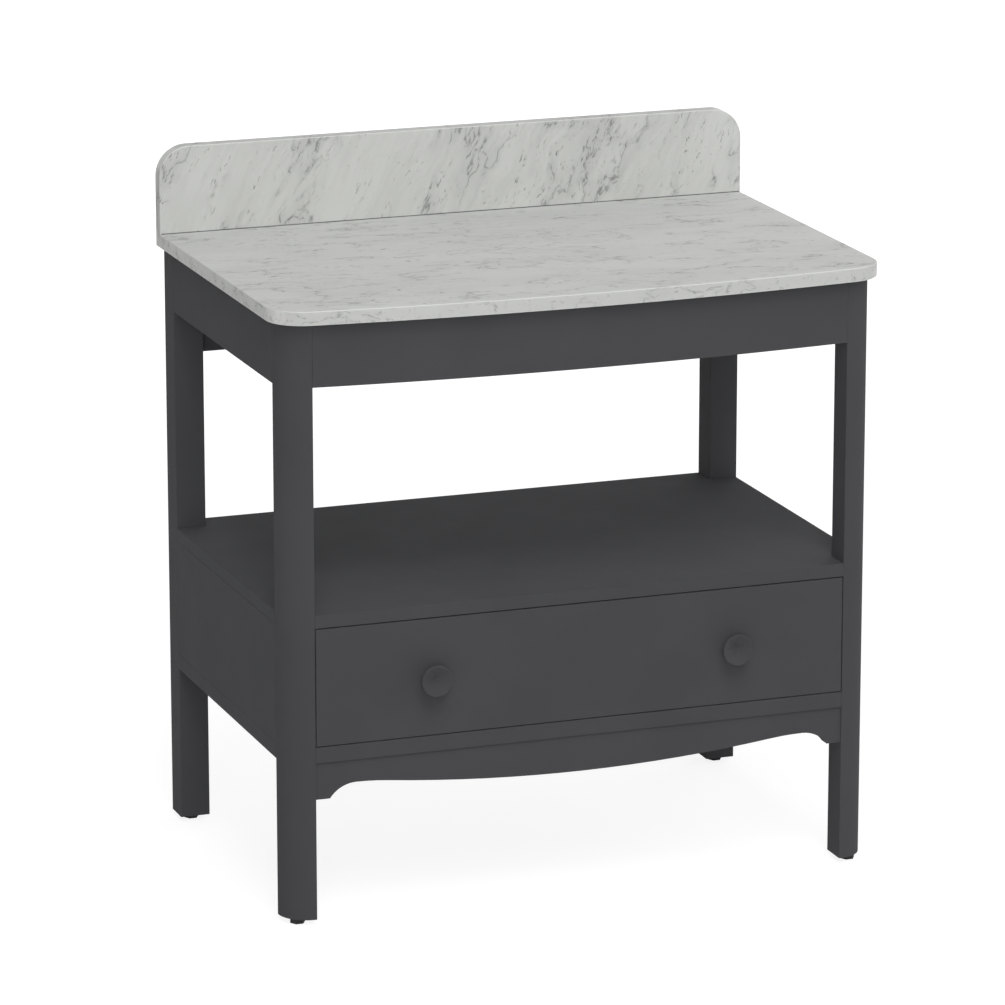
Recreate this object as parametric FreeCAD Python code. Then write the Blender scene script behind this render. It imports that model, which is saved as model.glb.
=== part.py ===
import FreeCAD, Part
import math
import os

Vector = FreeCAD.Vector

# A washstand: a marble worktop and upstand on a painted timber frame with one drawer.
# Millimetres. The origin is on the floor under the middle, +X to the right, the front at -Y.

# Worktop and upstand
worktop_width = 900.0
worktop_end_depth = 562.0
bow_rise = 28.0
worktop_thickness = 20.0
worktop_height = 880.0
side_overhang = 11.0
front_overhang = 10.0
stone_arris = 1.5
upstand_height = 127.0
upstand_thickness = 20.0
upstand_corner_radius = 45.0

# Legs and their levelling feet
leg_size = 44.0
leg_corner_flat = 2.0
leg_arris = 1.0
foot_gap = 8.0
foot_seat_gap = 0.3
foot_sides = 6
foot_flats = 19.0
foot_bevel = 0.6
foot_socket_share = 0.5
foot_stem_radius = 3.9
foot_stem_length = 42.0
foot_screw_gap = 0.1
foot_insert_wall = 2.0
foot_insert_length = 15.0
foot_bore_gap = 0.6

# Top rails, with stub tenons in the legs
rail_height = 90.0
rail_thickness = 22.0
back_rail_height = 156.0
back_rail_setback = 2.0
tenon_thickness = 10.0
tenon_setback = 8.0
tenon_length = 15.0
tenon_shoulder = 10.0
wall_hole_radius = 3.5
wall_hole_inset = 95.0
wall_hole_drop = 40.0

# Shelf, drawer case and apron
shelf_top_height = 448.0
shelf_thickness = 19.0
drawer_opening_height = 171.0
bottom_board_thickness = 23.0
board_arris = 1.0
side_panel_thickness = 18.0
back_panel_thickness = 9.0
back_panel_setback = 3.0
dowel_radius = 4.0
dowel_length = 30.0
dowel_panel_share = 0.6
dowel_place_shares = (0.2, 0.8)
apron_thickness = 18.0
apron_setback = 3.0
apron_end_depth = 53.0
apron_centre_depth = 53.0
apron_crown_depth = 33.0
apron_end_flat = 21.0
apron_crown_share = 0.85
apron_ogee_share = 0.14
glue_block_width = 50.0
glue_block_size = 20.0
glue_block_place_shares = (-0.64, 0.0, 0.64)

# Drawer
drawer_side_gap = 1.2
drawer_top_gap = 1.5
drawer_bottom_gap = 1.2
drawer_front_thickness = 20.0
drawer_front_arris = 1.2
drawer_box_height = 122.0
drawer_box_lift = 14.0
drawer_board_thickness = 14.0
drawer_back_gap = 70.0
drawer_base_thickness = 6.0
drawer_base_lift = 10.0
drawer_base_entry = 6.0
drawer_base_gap = 0.4
tail_count = 3
tail_width_share = 0.62
tail_slope_share = 0.16

# Knobs
knob_spacing = 450.0
knob_radius = 22.5
knob_projection = 25.0
knob_base_radius = 10.0
knob_base_height = 2.5
knob_neck_radius = 7.5
knob_neck_end = 6.0
knob_rim_width = 1.6
knob_rim_height = 6.0
knob_rim_round = 1.0
knob_dish_depth = 13.0

# Drawer runners: three channels and two ball cages a side. Their shares are of the width.
runner_width = 12.7
runner_height_share = 3.59
runner_gauge_share = 0.0945
race_depth_share = 0.047
middle_race_depth_share = 0.02
case_channel_share = 0.77
case_cage_place_share = 0.26
cage_gauge_share = 0.04
cage_gap_share = 0.032
cage_tip_gap_share = 0.016
cage_edge_share = 0.055
cage_hole_edge_share = 0.04
ball_radius_share = 0.126
ball_gap_share = 0.016
bend_gauge_share = 0.8
cage_length = 150.0
balls_per_row = 4
batten_height = 60.0

# Screws
screw_gap = 0.15
runner_screw_radius = 2.0
runner_screw_length = 14.0
runner_screw_head_radius = 3.8
runner_screw_head_height = 1.5
runner_screw_inset = 24.0
knob_screw_radius = 2.0
knob_screw_grip = 8.0
front_screw_radius = 2.2
front_screw_inset = 38.0
front_screw_rise_share = 0.28
front_screw_bite_share = 0.6
wood_screw_head_radius = 4.5
wood_screw_head_height = 2.5
screw_head_top_share = 0.7

fit_gap = 0.2
cut_overrun = 5.0
same_place = 0.001

# Places worked out from the sizes
top_half = worktop_width / 2
back_y = (worktop_end_depth + bow_rise) / 2
worktop_end_y = back_y - worktop_end_depth
worktop_nose_y = -back_y
frame_top_z = worktop_height - worktop_thickness
front_y = worktop_end_y + front_overhang
outer_x = top_half - side_overhang
inner_x = outer_x - leg_size
leg_corner_radius = leg_size - leg_corner_flat
front_leg_back_y = front_y + leg_size
back_leg_front_y = back_y - leg_size
leg_middle_x = outer_x - leg_size / 2
bow_radius = (top_half ** 2 + bow_rise ** 2) / (2 * bow_rise)
bow_centre_y = worktop_nose_y + bow_radius
shelf_bottom_z = shelf_top_height - shelf_thickness
board_top_z = shelf_bottom_z - drawer_opening_height
board_bottom_z = board_top_z - bottom_board_thickness
panel_inner_x = outer_x - side_panel_thickness
back_panel_front_y = back_y - back_panel_setback - back_panel_thickness
box_front_y = front_y + drawer_front_thickness
box_inner_front_y = box_front_y + drawer_board_thickness
box_length = back_panel_front_y - drawer_back_gap - box_front_y
box_back_y = box_front_y + box_length
box_outer_x = inner_x - runner_width
box_inner_x = box_outer_x - drawer_board_thickness
box_bottom_z = board_top_z + drawer_box_lift
box_top_z = box_bottom_z + drawer_box_height
box_middle_z = box_bottom_z + drawer_box_height / 2
front_bottom_z = board_top_z + drawer_bottom_gap
front_top_z = shelf_bottom_z - drawer_top_gap
knob_z = (front_bottom_z + front_top_z) / 2
runner_middle_y = (box_front_y + box_back_y) / 2
foot_insert_radius = foot_stem_radius + foot_screw_gap + foot_insert_wall

RIGHT = Vector(1, 0, 0)
BACK = Vector(0, 1, 0)
UP = Vector(0, 0, 1)


# Building blocks

def block(x, y, z):
    """A box given by its two ends along each axis."""
    return Part.makeBox(x[1] - x[0], y[1] - y[0], z[1] - z[0], Vector(x[0], y[0], z[0]))


def grown(ends, gap):
    """The two ends of a size, moved apart by a gap at each end."""
    return (ends[0] - gap, ends[1] + gap)


def mirrored(shape):
    """The same piece on the other side of the middle."""
    return shape.mirror(Vector(0, 0, 0), RIGHT)


def both_sides(shape):
    """A piece together with its mirror image."""
    return [shape, mirrored(shape)]


def is_at(value, place):
    return abs(value - place) < same_place


def eased(shape, radius, chosen):
    """The shape with the edges whose middle point passes the test rounded over."""
    edges = [edge for edge in shape.Edges if chosen(edge.CenterOfMass)]
    return shape.makeFillet(radius, edges)


def filled(edges, depth):
    """The solid swept from a closed outline along a depth vector."""
    wire = Part.Wire(Part.__sortEdges__(edges))
    return Part.Face(wire).extrude(depth)


def polygon(points):
    """Straight edges that join the points and close the outline."""
    return [
        Part.LineSegment(start, end).toShape()
        for start, end in zip(points, points[1:] + points[:1])
    ]


def quarter(start, corner, end):
    """A quarter circle between two points, in place of the square corner between them."""
    centre = start + end - corner
    middle = centre + (corner - centre) / math.sqrt(2)
    return Part.Arc(start, middle, end).toShape()


def arc_leaving(start, end, square_to):
    """An arc between two points that sets out square to the given direction."""
    chord = end - start
    reach = chord.Length ** 2 / (2 * chord.dot(square_to))
    centre = start + square_to * reach
    half_way = (start + end) / 2 - centre
    half_way.normalize()
    return Part.Arc(start, centre + half_way * abs(reach), end).toShape()


def turned(outline):
    """A solid of revolution about Z from the edges of its half section."""
    wire = Part.Wire(Part.__sortEdges__(outline))
    return Part.Face(wire).revolve(Vector(0, 0, 0), UP, 360)


def screw(seat, way, shank, length, head, head_height):
    """A screw whose head sits on the point seat and whose shank runs the given way."""
    pin = Part.makeCylinder(shank, length, seat, way)
    top = Part.makeCone(head, head * screw_head_top_share, head_height, seat, way * -1)
    return pin.fuse(top)


def hole(radius, start, way, length):
    """A round cutter that begins one overrun before its start point."""
    return Part.makeCylinder(radius, length + cut_overrun, start - way * cut_overrun, way)


def save(name, shape):
    """Writes one piece, or one set of like pieces, to its own file."""
    if isinstance(shape, list):
        shape = Part.makeCompound(shape)
    shape.exportStep(os.path.join("parts", name + ".step"))


def save_pair(name, left_shape):
    """Writes a left piece and its mirror image."""
    save(name + "_left", left_shape)
    save(name + "_right", mirrored(left_shape))


# Marble

def bow_arc(radius, half_span):
    """An arc about the centre of the bow, between two places at either side of the middle."""
    end_y = bow_centre_y - math.sqrt(radius ** 2 - half_span ** 2)
    start = Vector(-half_span, end_y, 0)
    middle = Vector(0, bow_centre_y - radius, 0)
    end = Vector(half_span, end_y, 0)
    return Part.Arc(start, middle, end).toShape(), start, end


def worktop():
    """The bowed slab. The strip that the upstand stands on is a face of its own."""
    front, left, right = bow_arc(bow_radius, top_half)
    back_left = Vector(-top_half, back_y, 0)
    back_right = Vector(top_half, back_y, 0)
    outline = [
        front,
        Part.LineSegment(right, back_right).toShape(),
        Part.LineSegment(back_right, back_left).toShape(),
        Part.LineSegment(back_left, left).toShape(),
    ]
    slab = filled(outline, UP * worktop_thickness)
    slab.translate(UP * frame_top_z)
    corner_radius = leg_corner_radius + side_overhang
    slab = eased(slab, corner_radius, lambda at: is_at(at.y, worktop_end_y))
    middle_z = frame_top_z + worktop_thickness / 2
    slab = eased(
        slab,
        stone_arris,
        lambda at: not is_at(at.y, back_y) and not is_at(at.z, middle_z),
    )
    bed_start = Vector(-top_half, back_y - upstand_thickness, worktop_height)
    bed = Part.makePlane(worktop_width, upstand_thickness, bed_start)
    split, _ = slab.generalFuse([bed])
    return split.Solids[0]


def upstand():
    top_z = worktop_height + upstand_height
    face_y = back_y - upstand_thickness
    slab = block((-top_half, top_half), (face_y, back_y), (worktop_height, top_z))
    slab = eased(
        slab,
        upstand_corner_radius,
        lambda at: is_at(at.z, top_z) and is_at(abs(at.x), top_half),
    )
    return eased(
        slab,
        stone_arris,
        lambda at: is_at(at.y, face_y) and not is_at(at.z, worktop_height),
    )


# Rails and legs, made for the left side and mirrored

def left_tenon(y, z):
    """The tenon of a front or back rail in the left leg."""
    return (-inner_x - tenon_length, -inner_x), y, z


def end_tenons(z):
    """The two tenons of the left side rail."""
    start_x = -outer_x + tenon_setback
    x = (start_x, start_x + tenon_thickness)
    return [
        (x, (front_leg_back_y - tenon_length, front_leg_back_y), z),
        (x, (back_leg_front_y, back_leg_front_y + tenon_length), z),
    ]


rail_z = (frame_top_z - rail_height, frame_top_z)
rail_tenon_z = grown(rail_z, -tenon_shoulder)
back_rail_z = (frame_top_z - back_rail_height, frame_top_z)
back_rail_face_y = back_y - back_rail_setback
front_tenon_y = (front_y + tenon_setback, front_y + tenon_setback + tenon_thickness)
back_tenon_y = (
    back_rail_face_y - tenon_setback / 2 - tenon_thickness,
    back_rail_face_y - tenon_setback / 2,
)
front_tenon = left_tenon(front_tenon_y, rail_tenon_z)
back_tenon = left_tenon(back_tenon_y, grown(back_rail_z, -tenon_shoulder))
side_tenons = end_tenons(rail_tenon_z)


def mortise(tenon):
    """The slot for a tenon, with room for glue all round."""
    return block(*[grown(ends, fit_gap) for ends in tenon])


def leg_block(start_y):
    return block(
        (-outer_x, -inner_x), (start_y, start_y + leg_size), (foot_gap, frame_top_z)
    )


def foot_bore(middle_y):
    """The stepped hole in a leg's end for the threaded insert and the foot's stem."""
    start = Vector(-leg_middle_x, middle_y, foot_gap)
    wide = hole(foot_insert_radius + foot_screw_gap, start, UP, foot_insert_length)
    deep = hole(foot_stem_radius + foot_bore_gap, start, UP, foot_stem_length)
    return wide.fuse(deep)


def left_leg(start_y, tenons, round_corner):
    end_y = start_y + leg_size
    leg = leg_block(start_y)
    if round_corner:
        leg = eased(
            leg,
            leg_corner_radius,
            lambda at: is_at(at.x, -outer_x) and is_at(at.y, start_y),
        )
    middle_z = (foot_gap + frame_top_z) / 2

    def is_sharp_upright(at):
        on_side = is_at(at.x, -outer_x) or is_at(at.x, -inner_x)
        on_end = is_at(at.y, start_y) or is_at(at.y, end_y)
        return is_at(at.z, middle_z) and on_side and on_end

    leg = eased(leg, leg_arris, is_sharp_upright)
    slots = [mortise(tenon) for tenon in tenons]
    return leg.cut(slots + [foot_bore(start_y + leg_size / 2)])


def front_rail():
    """The bowed rail, whose two faces share the centre of the worktop's front edge."""
    outer_radius = math.hypot(inner_x, bow_centre_y - front_y)
    outer, outer_left, outer_right = bow_arc(outer_radius, inner_x)
    inner, inner_left, inner_right = bow_arc(outer_radius - rail_thickness, inner_x)
    outline = [
        outer,
        Part.LineSegment(outer_right, inner_right).toShape(),
        inner,
        Part.LineSegment(inner_left, outer_left).toShape(),
    ]
    rail = filled(outline, UP * rail_height)
    rail.translate(UP * rail_z[0])
    return rail.fuse(both_sides(block(*front_tenon)))


def side_rail():
    rail = block(
        (-outer_x, -outer_x + rail_thickness), (front_leg_back_y, back_leg_front_y), rail_z
    )
    rail = eased(
        rail, leg_arris, lambda at: is_at(at.x, -outer_x) and is_at(at.z, rail_z[0])
    )
    return rail.fuse([block(*tenon) for tenon in side_tenons])


def back_rail():
    """The deep back rail, with a hole near each end for a screw into the wall."""
    front_face_y = back_rail_face_y - rail_thickness
    rail = block((-inner_x, inner_x), (front_face_y, back_rail_face_y), back_rail_z)
    rail = rail.fuse(both_sides(block(*back_tenon)))
    start = Vector(wall_hole_inset - inner_x, front_face_y, frame_top_z - wall_hole_drop)
    through = hole(wall_hole_radius, start, BACK, rail_thickness + cut_overrun)
    return rail.cut(both_sides(through))


# Shelf and drawer case

def leg_notches(z):
    """Room for the four legs at the corners of a board."""
    room = grown(z, cut_overrun)
    left = [
        block((-outer_x - cut_overrun, -inner_x), (front_y - cut_overrun, front_leg_back_y), room),
        block((-outer_x - cut_overrun, -inner_x), (back_leg_front_y, back_y + cut_overrun), room),
    ]
    return left + [mirrored(notch) for notch in left]


def dowel_places():
    span = back_leg_front_y - front_leg_back_y
    return [front_leg_back_y + span * share for share in dowel_place_shares]


def dowel_ends(joint_z, panel_way):
    """The lower and upper end of a dowel across the joint of a panel and a board."""
    in_panel = joint_z + panel_way * dowel_length * dowel_panel_share
    in_board = joint_z - panel_way * dowel_length * (1 - dowel_panel_share)
    return min(in_panel, in_board), max(in_panel, in_board)


def left_dowels(gap):
    """The dowels of the left panel, grown by a gap where they serve as cutters."""
    x = -outer_x + side_panel_thickness / 2
    pins = []
    for joint_z, panel_way in ((shelf_bottom_z, -1), (board_top_z, 1)):
        low, high = grown(dowel_ends(joint_z, panel_way), gap)
        for y in dowel_places():
            pins.append(Part.makeCylinder(dowel_radius + gap, high - low, Vector(x, y, low)))
    return pins


def case_board(z):
    """A board as wide and deep as the legs' outer faces, notched round them and dowelled."""
    board = block((-outer_x, outer_x), (front_y, back_y), z)
    board = eased(
        board,
        board_arris,
        lambda at: not is_at(at.y, back_y) and not is_at(at.z, sum(z) / 2),
    )
    cutters = left_dowels(fit_gap)
    cutters += [mirrored(cutter) for cutter in cutters]
    return board.cut(leg_notches(z) + cutters)


def side_panel():
    panel = block(
        (-outer_x, -panel_inner_x),
        (front_leg_back_y, back_leg_front_y),
        (board_top_z, shelf_bottom_z),
    )
    return panel.cut(left_dowels(fit_gap))


def apron():
    """The shaped board: flat ends, a quick rise to a crown, then an ogee to a low middle."""
    face_y = front_y + apron_setback

    def point(x, depth):
        return Vector(x, face_y, board_bottom_z - depth)

    crown_x = inner_x * apron_crown_share
    top_right = point(inner_x, 0)
    corner_right = point(inner_x, apron_end_depth)
    flat_right = point(inner_x - apron_end_flat, apron_end_depth)
    crown_right = point(crown_x, apron_crown_depth)
    middle = point(0, apron_centre_depth)
    joint_right = crown_right + (middle - crown_right) * apron_ogee_share
    right_half = [
        Part.LineSegment(top_right, corner_right).toShape(),
        Part.LineSegment(corner_right, flat_right).toShape(),
        arc_leaving(crown_right, flat_right, UP),
        arc_leaving(crown_right, joint_right, UP),
        arc_leaving(middle, joint_right, UP),
    ]
    top_left = point(-inner_x, 0)
    outline = right_half + [mirrored(edge) for edge in right_half]
    outline.append(Part.LineSegment(top_left, top_right).toShape())
    return filled(outline, BACK * apron_thickness)


def glue_blocks():
    start_y = front_y + apron_setback + apron_thickness
    y = (start_y, start_y + glue_block_size)
    z = (board_bottom_z - glue_block_size, board_bottom_z)
    blocks = []
    for share in glue_block_place_shares:
        x = inner_x * share
        blocks.append(block(grown((x, x), glue_block_width / 2), y, z))
    return blocks


def back_panel():
    return block(
        (-inner_x, inner_x),
        (back_panel_front_y, back_panel_front_y + back_panel_thickness),
        (board_top_z, shelf_bottom_z),
    )


# Drawer

def tails(end_y, way, gap):
    """The dovetails at one end of the left drawer side, with a gap where they cut sockets."""
    pitch = drawer_box_height / tail_count
    wide = pitch * tail_width_share / 2 + gap
    narrow = wide - drawer_board_thickness * tail_slope_share
    root_y = end_y + way * drawer_board_thickness
    shapes = []
    for number in range(tail_count):
        z = box_bottom_z + pitch * (number + 0.5)
        points = [
            Vector(-box_outer_x, end_y, z - wide),
            Vector(-box_outer_x, end_y, z + wide),
            Vector(-box_outer_x, root_y, z + narrow),
            Vector(-box_outer_x, root_y, z - narrow),
        ]
        shapes.append(filled(polygon(points), RIGHT * drawer_board_thickness))
    return shapes


def base_panel(gap):
    """The drawer's base, or with a gap the groove that holds it."""
    reach = drawer_base_entry - drawer_base_gap + gap
    bottom_z = box_bottom_z + drawer_base_lift
    return block(
        grown((-box_inner_x, box_inner_x), reach),
        grown((box_inner_front_y, box_back_y - drawer_board_thickness), reach),
        (bottom_z, bottom_z + drawer_base_thickness + gap),
    )


def channel_screw_places():
    """Where the runners' screws stand along the drawer."""
    return (
        front_leg_back_y + runner_screw_inset,
        runner_middle_y,
        box_back_y - runner_screw_inset,
    )


def drawer_channel_screws(gap):
    """The left runner's screws into the drawer side, from inside the channel."""
    seat_x = -box_outer_x - runner_gauge
    return [
        screw(
            Vector(seat_x, y, box_middle_z),
            RIGHT,
            runner_screw_radius + gap,
            runner_gauge + drawer_board_thickness * front_screw_bite_share + gap,
            runner_screw_head_radius,
            runner_screw_head_height,
        )
        for y in channel_screw_places()
    ]


def case_channel_screws(gap):
    """The left runner's screws into the batten."""
    seat_x = -inner_x + runner_gauge
    return [
        screw(
            Vector(seat_x, y, box_middle_z),
            RIGHT * -1,
            runner_screw_radius + gap,
            runner_screw_length + gap,
            runner_screw_head_radius,
            runner_screw_head_height,
        )
        for y in channel_screw_places()
    ]


def drawer_side():
    side = block(
        (-box_outer_x, -box_inner_x),
        (box_inner_front_y, box_back_y - drawer_board_thickness),
        (box_bottom_z, box_top_z),
    )
    side = side.fuse(tails(box_front_y, 1, 0) + tails(box_back_y, -1, 0))
    return side.cut([base_panel(drawer_base_gap)] + drawer_channel_screws(screw_gap))


def drawer_end(end_y, way):
    """The inner front or the back of the drawer box, with sockets for the tails."""
    y = sorted((end_y, end_y + way * drawer_board_thickness))
    board = block((-box_outer_x, box_outer_x), y, (box_bottom_z, box_top_z))
    sockets = []
    for tail in tails(end_y, way, fit_gap / 2):
        sockets += both_sides(tail)
    return board.cut(sockets + [base_panel(drawer_base_gap)])


def front_screws(gap):
    """The screws that hold the drawer front, from inside the box."""
    length = drawer_board_thickness + drawer_front_thickness * front_screw_bite_share
    screws = []
    rise = drawer_box_height * front_screw_rise_share
    for z in grown((box_middle_z, box_middle_z), rise):
        seat = Vector(front_screw_inset - box_inner_x, box_inner_front_y, z)
        left = screw(
            seat,
            BACK * -1,
            front_screw_radius + gap,
            length + gap,
            wood_screw_head_radius,
            wood_screw_head_height,
        )
        screws += both_sides(left)
    return screws


def knob_screws(gap):
    """The screws that hold the knobs, right through both front boards."""
    seat = Vector(-knob_spacing / 2, box_inner_front_y, knob_z)
    left = screw(
        seat,
        BACK * -1,
        knob_screw_radius + gap,
        box_inner_front_y - front_y + knob_screw_grip + gap,
        wood_screw_head_radius,
        wood_screw_head_height,
    )
    return both_sides(left)


def drawer_front():
    half_width = inner_x - drawer_side_gap
    board = block(
        (-half_width, half_width), (front_y, box_front_y), (front_bottom_z, front_top_z)
    )
    board = eased(board, drawer_front_arris, lambda at: is_at(at.y, front_y))
    return board.cut(front_screws(screw_gap) + knob_screws(screw_gap))


def knob():
    """The left knob: a turned foot and neck that flare to a beaded rim round a dished face."""

    def point(radius, height):
        return Vector(radius, 0, height)

    face = knob_projection
    rim_back = face - knob_rim_height
    rim_radius = knob_radius - knob_rim_round
    neck_start = knob_base_height + knob_base_radius - knob_neck_radius
    foot_edge = point(knob_base_radius, knob_base_height)
    neck_foot = point(knob_neck_radius, neck_start)
    neck_end = point(knob_neck_radius, knob_neck_end)
    flare_end = point(rim_radius, rim_back)
    rim_low = point(knob_radius, rim_back + knob_rim_round)
    rim_high = point(knob_radius, face - knob_rim_round)
    rim_top = point(rim_radius, face)
    dish_edge = point(knob_radius - knob_rim_width, face)
    dish_centre = point(0, face - knob_dish_depth)
    back_centre = point(0, 0)
    back_edge = point(knob_base_radius, 0)
    outline = [
        Part.LineSegment(back_centre, back_edge).toShape(),
        Part.LineSegment(back_edge, foot_edge).toShape(),
        quarter(foot_edge, point(knob_neck_radius, knob_base_height), neck_foot),
        Part.LineSegment(neck_foot, neck_end).toShape(),
        arc_leaving(neck_end, flare_end, RIGHT),
        quarter(flare_end, point(knob_radius, rim_back), rim_low),
        Part.LineSegment(rim_low, rim_high).toShape(),
        quarter(rim_high, point(knob_radius, face), rim_top),
        Part.LineSegment(rim_top, dish_edge).toShape(),
        Part.LineSegment(dish_edge, dish_centre).toShape(),
        Part.LineSegment(dish_centre, back_centre).toShape(),
    ]
    shape = turned(outline)
    shape.rotate(Vector(0, 0, 0), RIGHT, 90)
    shape.translate(Vector(-knob_spacing / 2, front_y, knob_z))
    return shape.cut(knob_screws(screw_gap))


# Runners, in a cross-section that starts at the batten's face and grows towards the drawer

runner_gauge = runner_width * runner_gauge_share
race_depth = runner_width * race_depth_share
middle_race_depth = runner_width * middle_race_depth_share
cage_gauge = runner_width * cage_gauge_share
cage_gap = runner_width * cage_gap_share
cage_tip_gap = runner_width * cage_tip_gap_share
cage_edge = runner_width * cage_edge_share
ball_radius = runner_width * ball_radius_share
race_radius = ball_radius + runner_width * ball_gap_share
cage_hole_edge = race_radius + runner_width * cage_hole_edge_share

# Across the runner, from the batten
case_channel_end = runner_width * case_channel_share
case_cage_start = runner_width * case_cage_place_share
case_cage_end = case_channel_end - cage_edge
middle_channel_start = case_cage_start + cage_gauge + cage_gap
drawer_cage_start = middle_channel_start + runner_gauge + cage_gap
drawer_cage_end = runner_width - runner_gauge - cage_tip_gap
middle_channel_end = drawer_cage_end - cage_edge
drawer_channel_start = drawer_cage_start + cage_gauge + cage_tip_gap

# Up from the middle of the runner, each height to a flange's outer face or a row's centres
case_flange_height = runner_width * runner_height_share / 2 - race_depth
case_ball_height = case_flange_height - runner_gauge - race_radius + race_depth
middle_flange_height = case_ball_height - race_radius + middle_race_depth
drawer_ball_height = middle_flange_height - runner_gauge - race_radius + middle_race_depth
drawer_flange_height = drawer_ball_height - race_radius + race_depth

case_row = (case_cage_end - cage_hole_edge, case_ball_height)
drawer_row = (drawer_cage_end - cage_hole_edge, drawer_ball_height)


def flange_face(ends, level, gauge, rows, is_outer):
    """One face of the upper flange, curved about the centres of each row of balls."""
    edges = []
    start = Vector(min(ends), 0, level)
    for x, height in sorted(rows):
        faces_balls = (height > level) == is_outer
        radius = race_radius if faces_balls else race_radius + gauge
        half_width = math.sqrt(radius ** 2 - (height - level) ** 2)
        deepest = height - radius if height > level else height + radius
        left = Vector(x - half_width, 0, level)
        right = Vector(x + half_width, 0, level)
        edges.append(Part.LineSegment(start, left).toShape())
        edges.append(Part.Arc(left, Vector(x, 0, deepest), right).toShape())
        start = right
    edges.append(Part.LineSegment(start, Vector(max(ends), 0, level)).toShape())
    return edges


def channel(ends, height, gauge, rows, y):
    """A rolled channel between two places along the drawer, with a web and two flanges.

    The first of the two ends is the web's, and the height is to a flange's outer face.
    """
    web, tip = ends
    inside = web + math.copysign(gauge, tip - web)
    inner_height = height - gauge
    upper = flange_face(ends, height, gauge, rows, True)
    upper += flange_face((inside, tip), inner_height, gauge, rows, False)
    upper.append(Part.LineSegment(Vector(tip, 0, inner_height), Vector(tip, 0, height)).toShape())
    section = upper + [edge.mirror(Vector(0, 0, 0), UP) for edge in upper]
    for x, half in ((web, height), (inside, inner_height)):
        section.append(Part.LineSegment(Vector(x, 0, -half), Vector(x, 0, half)).toShape())
    solid = filled(section, BACK * (y[1] - y[0]))
    bend = gauge * bend_gauge_share
    solid = eased(solid, bend, lambda at: is_at(at.x, web) and is_at(abs(at.z), height))
    solid.translate(Vector(-inner_x, y[0], box_middle_z))
    return solid


def ball_places(row):
    """The centres of a cage's balls, in an upper and a lower row."""
    x, height = row
    pitch = cage_length / balls_per_row
    first_y = runner_middle_y - cage_length / 2 + pitch / 2
    return [
        Vector(x - inner_x, first_y + pitch * number, box_middle_z + side * height)
        for side in (-1, 1)
        for number in range(balls_per_row)
    ]


def ball_cage(ends, row):
    """A thin channel between two runner channels, with a hole round each ball."""
    y = grown((runner_middle_y, runner_middle_y), cage_length / 2)
    cage = channel(ends, row[1] + cage_gauge / 2, cage_gauge, [], y)
    holes = [
        Part.makeCylinder(race_radius, 2 * race_radius, place - UP * race_radius)
        for place in ball_places(row)
    ]
    return cage.cut(holes)


def balls(row):
    return [Part.makeSphere(ball_radius, place) for place in ball_places(row)]


def full_channel(ends, height, rows):
    return channel(ends, height, runner_gauge, rows, (box_front_y, box_back_y))


def case_channel():
    shape = full_channel((0, case_channel_end), case_flange_height, [case_row])
    return shape.cut(case_channel_screws(screw_gap))


def middle_channel():
    ends = (middle_channel_start, middle_channel_end)
    return full_channel(ends, middle_flange_height, [case_row, drawer_row])


def drawer_channel():
    ends = (runner_width, drawer_channel_start)
    shape = full_channel(ends, drawer_flange_height, [drawer_row])
    return shape.cut(drawer_channel_screws(screw_gap))


def batten():
    z = grown((box_middle_z, box_middle_z), batten_height / 2)
    shape = block((-panel_inner_x, -inner_x), (front_leg_back_y, back_leg_front_y), z)
    return shape.cut(case_channel_screws(screw_gap))


# Feet

def foot_pad():
    """The hexagonal foot that turns by spanner, two of its flats along the front and back."""
    height = foot_gap - foot_seat_gap
    corner_radius = foot_flats / 2 / math.cos(math.pi / foot_sides)
    turns = [math.tau * number / foot_sides for number in range(foot_sides)]
    corners = [
        Vector(corner_radius * math.cos(turn), corner_radius * math.sin(turn), 0)
        for turn in turns
    ]
    body = filled(polygon(corners), UP * height)
    ends = [edge for edge in body.Edges if not is_at(edge.CenterOfMass.z, height / 2)]
    socket_z = height * (1 - foot_socket_share)
    socket = Part.makeCylinder(foot_stem_radius, height, Vector(0, 0, socket_z))
    return body.makeChamfer(foot_bevel, ends).cut(socket)


def foot_stem():
    """The screwed rod of a foot, from its socket in the pad up into the leg."""
    start_z = (foot_gap - foot_seat_gap) * (1 - foot_socket_share)
    return Part.makeCylinder(foot_stem_radius, foot_stem_length, Vector(0, 0, start_z))


def foot_insert():
    body = Part.makeCylinder(foot_insert_radius, foot_insert_length, Vector(0, 0, foot_gap))
    bore_radius = foot_stem_radius + foot_screw_gap
    length = foot_insert_length + cut_overrun
    return body.cut(hole(bore_radius, Vector(0, 0, foot_gap), UP, length))


def placed(shape, x, y):
    copy = shape.copy()
    copy.translate(Vector(x, y, 0))
    return copy


def save_feet():
    inserts = []
    for row, y in (("front", front_y + leg_size / 2), ("back", back_y - leg_size / 2)):
        for side, x in (("left", -leg_middle_x), ("right", leg_middle_x)):
            save(f"foot_pad_{row}_{side}", placed(foot_pad(), x, y))
            save(f"foot_stem_{row}_{side}", placed(foot_stem(), x, y))
            inserts.append(placed(foot_insert(), x, y))
    save("foot_inserts", inserts)


def save_frame():
    save("worktop", worktop())
    save("upstand", upstand())
    save_pair("leg_front", left_leg(front_y, [front_tenon, side_tenons[0]], True))
    save_pair("leg_back", left_leg(back_leg_front_y, [back_tenon, side_tenons[1]], False))
    save("top_rail_front", front_rail())
    save("top_rail_back", back_rail())
    save_pair("top_rail", side_rail())


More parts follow.
